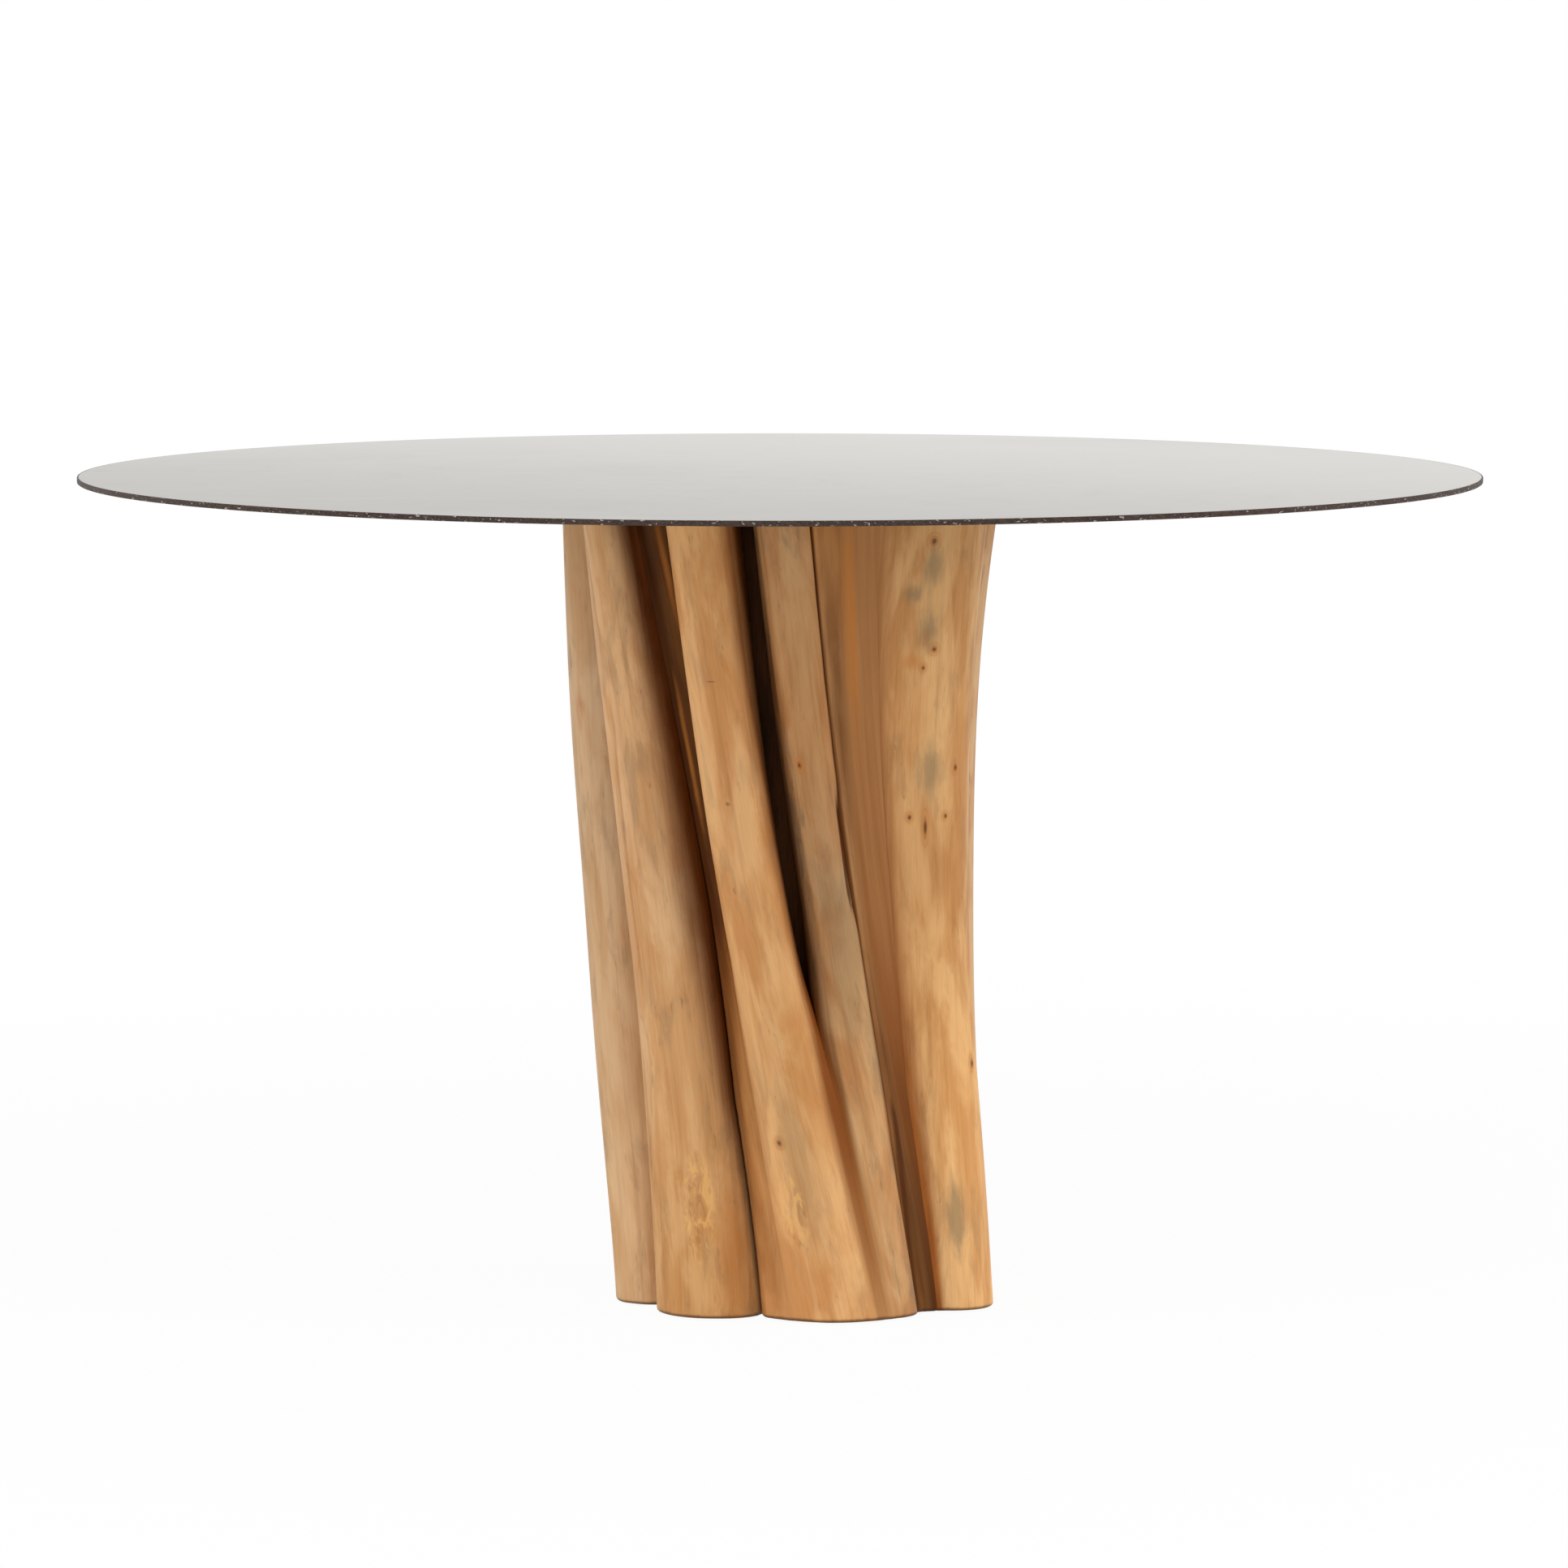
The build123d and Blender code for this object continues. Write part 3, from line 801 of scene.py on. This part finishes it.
def marked(finish, mark, grain, weather, ragged_edge, colour, relief):
    """The colour and relief of a stem with one of its marks laid over them."""
    around, along = grain
    across, up = grain_place(mark.stem, mark.across, mark.height)
    ragged = ragged_edge * 0.9
    sideways = (around - across) / (mark.wide / 2)
    lengthways = (along - up) / (mark.tall / 2)
    far = (sideways * sideways + lengthways * lengthways) ** 0.5
    if mark.kind in ("knot", "bud"):
        halo = (far + ragged * 1.2).between(3.4, 0.9) * 0.45
        year_rings = (far * 7 + ragged * 3).sine().between(0.1, 1) * far.between(3.0, 1.0) * 0.3
        colour = finish.mix(colour, paint(*AMBER), halo)
        colour = finish.mix(colour, paint(*BROWN), year_rings)
        colour = finish.mix(colour, paint(*UMBER), (far + ragged * 0.9).between(1.15, 0.3) * 0.8)
        relief = relief - far.between(0.9, 0.2) * 0.6
    elif mark.kind in STAIN_DEPTH:
        cover = (far + ragged * 2.2 + (weather - 0.5) * 2.0).between(1.4, 0.2)
        colour = finish.mix(colour, paint(*STAIN), cover * STAIN_DEPTH[mark.kind])
    elif mark.kind == "amber":
        colour = finish.mix(colour, paint(*RESIN), (far + ragged * 0.8).between(1.2, 0.1) * 0.5)
    elif mark.kind == "figure":
        patch = (far + ragged * 1.2).between(1.1, 0.7)
        swirl = finish.cloud(grain, (8, 22), mark.stem + 0.5, detail=3, distortion=1.2)
        colour = finish.mix(colour, paint(*FIGURE_PALE), patch * swirl.between(0.52, 0.4) * 0.6)
        colour = finish.mix(colour, paint(*FIGURE_DEEP), patch * swirl.between(0.54, 0.64) * 0.55)
    else:
        colour = finish.mix(colour, paint(*SCAR), far.between(1.1, 0.3) * 0.6)
    return colour, relief


def peeled_wood(number):
    """A stem's own wood: its two colours in blotches, then streaks, weather, the tones of its
    height with painted shade under the top, the painted shade of its valleys, a painted shadow
    along its foot, and its marks."""
    look = LOOKS[number - 1]
    finish = material_finish(f"peeled_wood_{number:02d}")
    grain = finish.grain()
    _, along = grain
    painted_shade, kin = (
        finish.add("ShaderNodeAttribute", {"attribute_name": share}, {}, output="Fac")
        for share in ("painted_shade", "kin")
    )

    def cloud(width, length, seed, **more):
        return finish.cloud(grain, (width, length), number * 11.3 + seed, **more)

    blotch = cloud(30, 120, 1, detail=4, distortion=0.6)
    mottle = cloud(13, 46, 2, detail=4, roughness=0.6, distortion=0.8)
    streak = cloud(6, 260, 3, detail=4, roughness=0.55)
    fibre = cloud(1.0, 36, 4, detail=2)
    fleck = cloud(2.4, 14, 5, detail=1)
    weather = cloud(22, 90, 6, detail=4, roughness=0.62, distortion=1.0)
    band = cloud(70, 300, 7, detail=1)
    ragged_edge = mottle - 0.5

    colour = finish.mix(paint(*look.pale), paint(*look.deep), blotch.between(0.38, 0.62) * 0.85)
    amber = mottle.between(0.5, 0.72) * band.between(0.35, 0.6) * 0.4
    colour = finish.mix(colour, paint(*AMBER), amber)
    colour = finish.mix(colour, paint(*BROWN), streak.between(0.5, 0.8) * 0.24)
    colour = finish.mix(colour, paint(*PALE_STREAK), streak.between(0.5, 0.24) * 0.2)
    colour = finish.mix(colour, paint(*GREY), weather.between(0.5, 0.68) * look.grey)
    fibres = fibre.between(0.42, 0.72) * 0.18
    colour = finish.mix(colour, paint(*FIBRE_SHADE), fibres, blend="MULTIPLY")
    flecks = fleck.between(0.66, 0.74) * weather.between(0.46, 0.62) * 0.35
    colour = finish.mix(colour, paint(*FLECK_SHADE), flecks, blend="MULTIPLY")
    # the stem's own tone by height, with painted shade under the top and in the grooves
    stops = [(up / WOOD_TOP, paint(*tone)) for up, tone in look.tones]
    tone = finish.ramp(along * (1 / WOOD_TOP), stops)
    colour = finish.mix(colour, tone, 1.0, blend="MULTIPLY")
    colour = finish.mix(colour, paint(*JOINT_WOOD), kin * 0.8)
    shade = finish.mix(paint(*look.shade), paint(*JOINT_SHADE), kin)
    # painted shade on the flanks, in the valleys and furrows
    painted_flank_shade = (painted_shade + (streak - 0.5) * 0.35).between(0.06, 0.95)
    colour = finish.mix(colour, shade, painted_flank_shade, blend="MULTIPLY")
    # a painted shadow along the foot, where it meets the floor
    foot_shadow = (along + ragged_edge * 3).between(6.5, 3.5) * 0.75
    colour = finish.mix(colour, paint(*FOOT_SHADOW), foot_shadow)
    relief = (streak - 0.5) * 0.55 + (mottle - 0.5) * 0.3 + (fibre - 0.5) * 0.05
    for mark in (mark for mark in MARKS if mark.stem == number):
        colour, relief = marked(finish, mark, grain, weather, ragged_edge, colour, relief)
    return finish.surface(
        Base_Color=colour,
        Roughness=0.5 + (weather - 0.5) * 0.25,
        Specular_IOR_Level=0.1,
        Normal=finish.bump(relief, 0.8),
    )


def log_wood(name, pale, deep, length):
    """Straight grain for the log and the pegs that the stems hide."""
    finish = material_finish(name)
    place = finish.place()
    blotch = finish.cloud(place, (30, 30, length), 3.0)
    fibre = finish.cloud(place, (1.6, 1.6, length / 5), 8.0)
    colour = finish.mix(paint(*pale), paint(*deep), blotch.between(0.35, 0.65))
    fibres = fibre.between(0.45, 0.7) * 0.5
    colour = finish.mix(colour, paint(150, 110, 74), fibres, blend="MULTIPLY")
    return finish.surface(
        Base_Color=colour,
        Roughness=0.65 + (blotch - 0.5) * 0.2,
        Specular_IOR_Level=0.1,
        Normal=finish.bump(fibre, 0.3),
    )


# ---- the steel and the other materials ----
CRUST_STARTS = 2.4  # how far in from the rim the cut's dark crust starts
CRUST_COVERS = 1.4  # and where it covers all


def patinated_steel():
    """Waxed raw sheet: cloudy patina, paler to the back right as a painted reflection, rolling
    streaks, fine scratches, and a dark rough cut rim.
    """
    finish = material_finish("patinated_steel")
    place = finish.place()
    x, y, _ = place
    cloudy = finish.cloud(place, (210, 210, 210), 1.0, detail=5, roughness=0.6, distortion=0.5)
    mottle = finish.cloud(place, (38, 60, 40), 2.0, detail=5, roughness=0.65, distortion=0.4)
    rolled = finish.cloud(place, (420, 7, 20), 3.0, detail=4, roughness=0.6)
    grit = finish.cloud(place, (1.4, 1.4, 1.4), 4.0, detail=2)
    # paler to the back right: a painted reflection of the bright surroundings
    painted_reflection = (y * 0.75 + x * 0.55 + (cloudy - 0.5) * 500).between(-650, 560)
    colour = finish.mix(paint(174, 171, 165), paint(207, 204, 199), painted_reflection)
    clouds = cloudy.between(0.5, 0.68) * painted_reflection.between(1.1, 0.0) * 0.5
    colour = finish.mix(colour, paint(180, 176, 170), clouds)
    mottles = mottle.between(0.5, 0.7) * painted_reflection.between(1.2, 0.0) * 0.3
    colour = finish.mix(colour, paint(168, 162, 154), mottles)
    colour = finish.mix(colour, paint(214, 211, 206), rolled.between(0.5, 0.7) * 0.3)
    out = (x * x + y * y) ** 0.5
    rim = out.between(TOP_DIAMETER / 2 - CRUST_STARTS, TOP_DIAMETER / 2 - CRUST_COVERS)
    crust = finish.cloud(place, (6, 6, 2.5), 5.0, detail=4, roughness=0.7)
    cut = finish.mix(paint(70, 52, 43), paint(30, 21, 17), crust.between(0.4, 0.6))
    cut = finish.mix(cut, paint(190, 174, 162), crust.between(0.57, 0.65) * 0.8)
    colour = finish.mix(colour, cut, rim)
    roughness = 0.34 + (cloudy - 0.5) * 0.16 + (rolled - 0.5) * 0.14 + rim * 0.3
    relief = (rolled - 0.5) * 0.05 + (mottle - 0.5) * 0.08 + (grit - 0.5) * 0.02
    relief = relief + rim * (crust - 0.5) * 0.8
    return finish.surface(
        Base_Color=colour,
        Metallic=1 - rim * 0.75,
        Roughness=roughness,
        Normal=finish.bump(relief, 1.0),
    )


def worked_metal(name, pale, deep, roughness, metallic, grain):
    """Plated, brass or coated metal with a fine uneven skin."""
    finish = material_finish(name)
    place = finish.place()
    cloudy = finish.cloud(place, (14, 14, 14), 1.0, detail=3)
    fine = finish.cloud(place, (grain, grain, grain), 2.0, detail=2)
    colour = finish.mix(paint(*pale), paint(*deep), cloudy.between(0.35, 0.65))
    pits = fine.between(0.5, 0.75) * 0.3
    colour = finish.mix(colour, paint(150, 150, 150), pits, blend="MULTIPLY")
    return finish.surface(
        Base_Color=colour,
        Roughness=roughness + (fine - 0.5) * 0.2 + (cloudy - 0.5) * 0.12,
        Metallic=metallic,
        Normal=finish.bump(fine, grain * 0.12),
    )


def moulded_nylon():
    finish = material_finish("moulded_nylon")
    place = finish.place()
    speck = finish.cloud(place, (1.2, 1.2, 1.2), 1.0, detail=2)
    scuff = finish.cloud(place, (9, 9, 3), 2.0, detail=4)
    colour = finish.mix(paint(52, 50, 48), paint(78, 74, 70), scuff.between(0.5, 0.72))
    return finish.surface(
        Base_Color=colour,
        Roughness=0.5 + (scuff - 0.5) * 0.3,
        Specular_IOR_Level=0.4,
        Normal=finish.bump(speck, 0.12),
    )


# ---- pieces that follow a rule ----
class Rule:
    """A tree of geometry nodes for a modifier, with named sizes as its inputs."""

    def __init__(self, name, **sizes):
        self.tree = bpy.data.node_groups.new(name, "GeometryNodeTree")
        self.sizes = sizes
        face = self.tree.interface
        face.new_socket("Geometry", in_out="INPUT", socket_type="NodeSocketGeometry")
        face.new_socket("Geometry", in_out="OUTPUT", socket_type="NodeSocketGeometry")
        for size in sizes:
            face.new_socket(size, in_out="INPUT", socket_type="NodeSocketFloat")
        face.new_socket("Material", in_out="INPUT", socket_type="NodeSocketMaterial")
        self.given = self.tree.nodes.new("NodeGroupInput").outputs
        self.result = self.tree.nodes.new("NodeGroupOutput").inputs[0]

    def add(self, kind, values, output=0, **settings):
        node = self.tree.nodes.new(kind)
        for setting, value in settings.items():
            setattr(node, setting, value)
        for name, value in values.items():
            if isinstance(value, bpy.types.NodeSocket):
                self.tree.links.new(value, node.inputs[name])
            else:
                node.inputs[name].default_value = value
        return node.outputs[output]

    def end(self, geometry):
        real = self.add("GeometryNodeRealizeInstances", {0: geometry})
        values = {"Geometry": real, "Material": self.given["Material"]}
        painted = self.add("GeometryNodeSetMaterial", values)
        self.tree.links.new(painted, self.result)

    def apply(self, mesh, material):
        """The plain mesh that the tree makes from a mesh."""
        thing = bpy.data.objects.new(mesh.name, mesh)
        bpy.context.scene.collection.objects.link(thing)
        modifier = thing.modifiers.new("rule", "NODES")
        modifier.node_group = self.tree
        values = {**self.sizes, "Material": material}
        for item in self.tree.interface.items_tree:
            if item.in_out == "INPUT" and item.name in values:
                modifier[item.identifier] = values[item.name]
        thing.update_tag()
        bpy.context.view_layer.update()
        evaluated = thing.evaluated_get(bpy.context.evaluated_depsgraph_get())
        plain = bpy.data.meshes.new_from_object(evaluated)
        bpy.data.objects.remove(thing)
        return plain


def turned(name, profile, count, centre=(0, 0), closed=False):
    """A piece turned about an upright line: distances from it, and heights."""
    rings = [ring(distance, height, evenly(count), centre) for distance, height in profile]
    return skin(name, rings, closed)


def cut_plate_rule():
    """A rule that draws a plate's rim in unevenly, as a hand-held cutter leaves it."""
    sizes = {"Radius": TOP_DIAMETER / 2 * MM, "Wander": 0.0006, "Ripple": 0.00025, "Rim": 0.003}
    rule = Rule("hand_cut_plate", **sizes)
    add, given = rule.add, rule.given
    position = add("GeometryNodeInputPosition", {})
    flat = add("ShaderNodeVectorMath", {0: position, 1: (1, 1, 0)}, operation="MULTIPLY")
    out = add("ShaderNodeVectorMath", {0: flat}, output="Value", operation="LENGTH")
    outward = add("ShaderNodeVectorMath", {0: flat}, operation="NORMALIZE")
    inner = add("ShaderNodeMath", {0: given["Radius"], 1: given["Rim"]}, operation="SUBTRACT")
    span = {"From Min": inner, "From Max": given["Radius"]}
    near_rim = add("ShaderNodeMapRange", {"Value": out, **span})
    draws = []
    for size, seed, scale in (("Wander", 3.0, 9.0), ("Ripple", 5.0, 160.0)):
        values = {"Vector": position, "W": seed, "Scale": scale, "Detail": 2.0}
        noise = add("ShaderNodeTexNoise", values, noise_dimensions="4D")
        draws.append(add("ShaderNodeMath", {0: noise, 1: given[size]}, operation="MULTIPLY"))
    draw = add("ShaderNodeMath", dict(enumerate(draws)), operation="ADD")
    shift = add("ShaderNodeMath", {0: draw, 1: near_rim}, operation="MULTIPLY")
    inward = add("ShaderNodeMath", {0: shift, 1: -1.0}, operation="MULTIPLY")
    offset = add("ShaderNodeVectorMath", {0: outward, "Scale": inward}, operation="SCALE")
    rule.end(add("GeometryNodeSetPosition", {"Geometry": given["Geometry"], "Offset": offset}))
    return rule


def on_arms_rule():
    """A rule that sets a fixing at each of the spider's stud holes: two circles of four."""
    rule = Rule("one_at_each_stud", Inner=0.24, Outer=0.33)
    add, given = rule.add, rule.given
    both = rule.tree.nodes.new("GeometryNodeJoinGeometry")
    for size in ("Inner", "Outer"):
        circle = add("GeometryNodeMeshCircle", {"Vertices": 4, "Radius": given[size]})
        rule.tree.links.new(circle, both.inputs[0])
    values = {"Geometry": both.outputs[0], "Rotation": (0, 0, math.pi / 4)}
    points = add("GeometryNodeTransform", values)
    values = {"Points": points, "Instance": given["Geometry"]}
    rule.end(add("GeometryNodeInstanceOnPoints", values))
    return rule


def plate_mesh():
    """The top before its rim is cut: a turned disc with a small arris, closed at both poles."""
    radius, top, under = TOP_DIAMETER / 2, TABLE_HEIGHT, PLATE_UNDERSIDE
    face = [*(radius * share for share in (0, 0.3, 0.6, 0.8, 0.9, 0.96)), radius - 3]
    rim = [
        (radius - 0.7, under), (radius - 0.2, under + 0.3), (radius, under + 1),
        (radius - 0.1, under + 2), (radius, under + 3),
        (radius, top - 1), (radius - 0.2, top - 0.3), (radius - 0.7, top),
    ]
    low = [(distance, under) for distance in face]
    high = [(distance, top) for distance in reversed(face)]
    return turned("turned_plate", [*low, *rim, *high], 720)


# ---- fixings ----
WELD_STUD_LENGTH = 18.1
NUT_DROP = 8.1  # from the spider down to the nut's lower face
PAD_PROFILE = [
    (0, 0), (5.4, 0), (6, 0.5), (11.4, 0.5), (12, 0), (16.8, 0), (17.6, 0.3),
    (18, 0.9), (18, 3.4), (17, 4.6), (15.5, 5), (5.05, 5), (5.05, 2), (0, 2),
]


def hexagon(across_flats, limit, count):
    """Distances from the middle of a nut to its faces, or to the cone that trims its corners."""
    off_flat = (evenly(count) + math.pi / 6) % (math.pi / 3) - math.pi / 6
    return np.minimum(across_flats / 2 / np.cos(off_flat), limit)


def nut_mesh(bottom):
    """A plain hexagon nut, its corners trimmed by a cone at both ends."""
    count, height, flats, bore, lead = 72, 6.5, 13.0, 4.05, 0.6
    corner = hexagon(flats, math.inf, count)
    trimmed = hexagon(flats, flats / 2 * 1.02, count)
    drop = (corner - trimmed) * 0.5
    profile = [(bore, lead), (bore + lead, 0), (trimmed, 0), (corner, drop)]
    profile += [(corner, height - drop), (trimmed, height)]
    profile += [(bore + lead, height), (bore, height - lead)]
    rings = [ring(distance, 0, evenly(count)) for distance, _ in profile]
    for points, (_, rise) in zip(rings, profile):
        points[:, 2] = bottom + rise
    return skin("nut", rings, closed=True)


def threaded(radius, low, high, pitch, depth):
    """The profile of a thread's crests and roots between two heights."""
    turns = int((high - low) / pitch)
    steps = [(low + turn * pitch, low + (turn + 0.5) * pitch) for turn in range(turns)]
    return [pair for crest, root in steps for pair in ((radius, crest), (radius - depth, root))]


def dress_fixings(zinc):
    under, rest = PLATE_UNDERSIDE, WOOD_TOP
    tip = under - WELD_STUD_LENGTH
    stud = [
        (0, tip), (3.2, tip), *threaded(4.0, tip + 0.6, under - 3, 1.25, 0.55),
        (4.0, under - 2.8), (4.0, under - 2), (4.4, under - 0.6), (4.49, under), (0, under),
    ]
    washer = [
        (4.06, rest - 1.6), (7.6, rest - 1.6), (8, rest - 1.2),
        (8, rest - 0.4), (7.6, rest), (4.06, rest),
    ]
    rule = on_arms_rule()
    for name, node, mesh in (
        ("plate_studs", "weld_studs", turned("stud", stud, 32)),
        ("plate_washers", "top_washers", turned("washer", washer, 48, closed=True)),
        ("plate_nuts", "top_nuts", nut_mesh(rest - NUT_DROP)),
    ):
        finished(name, rule.apply(mesh, zinc), zinc, "table", "zinc_steel", node)


def dress_feet(nylon, zinc):
    stud = [(0, 2), (5, 2), *threaded(5.0, 5.2, 33, 1.5, 0.6), (4.2, 34), (0, 34)]
    for place, number in enumerate(FOOT_STEMS, start=1):
        centre = Run(STEMS[number - 1], np.array([0.0])).centre[:, 0]
        body = f"foot_{place}"
        pad_mesh = turned("pad", PAD_PROFILE, 96, centre)
        finished(f"pad_{place}", pad_mesh, nylon, body, "nylon", f"foot_pad_{place}")
        stud_mesh = turned("levelling_stud", stud, 40, centre)
        name = f"levelling_stud_{place}"
        finished(name, stud_mesh, zinc, body, "zinc_steel", f"foot_stud_{place}")


# ---- putting it together ----
def lay_floor():
    mesh = turned("floor", [(FLOOR_SIZE, 0), (0, 0)], 96)
    mesh.materials.append(pale_floor())
    floor = bpy.data.objects.new("floor", mesh)
    bpy.context.scene.collection.objects.link(floor)


def dress_stems():
    for number in range(1, len(STEMS) + 1):
        name, node = f"peeled_stem_{number:02d}", f"stem_{number:02d}"
        mesh = make_stem_mesh(number)
        finished(name, mesh, peeled_wood(number), "table", "peeled_wood", node)


def dress_nodes(finishes):
    for node, material in finishes.items():
        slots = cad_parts[node].data.materials
        slots.clear()
        slots.append(material)


def main():
    place_camera()
    lay_floor()
    white_surroundings()
    for softbox in SOFTBOXES:
        hang_softbox(softbox)
    dress_stems()
    steel = patinated_steel()
    plate = cut_plate_rule().apply(plate_mesh(), steel)
    finished("steel_top", plate, steel, "table", "patinated_steel", "table_top")
    zinc = worked_metal("zinc_steel", (196, 198, 200), (160, 162, 166), 0.38, 1.0, 0.8)
    dress_fixings(zinc)
    dress_feet(moulded_nylon(), zinc)
    beech = log_wood("dowel_wood", (214, 178, 134), (190, 150, 104), 40)
    coated = worked_metal("spider_steel", (44, 43, 42), (30, 29, 29), 0.5, 0.0, 0.9)
    brass = worked_metal("brass", (206, 172, 92), (176, 140, 66), 0.34, 1.0, 0.7)
    dress_nodes({
        "mounting_spider": coated,
        "stem_screws": zinc,
        "core_screws": zinc,
        # the log is near black: painted shade in the void behind the gaps between the stems
        "core_log": log_wood("core_wood", (84, 48, 22), (50, 28, 12), 160),
        "lower_dowels": beech,
        "upper_dowels": beech,
        "foot_inserts": brass,
    })


main()
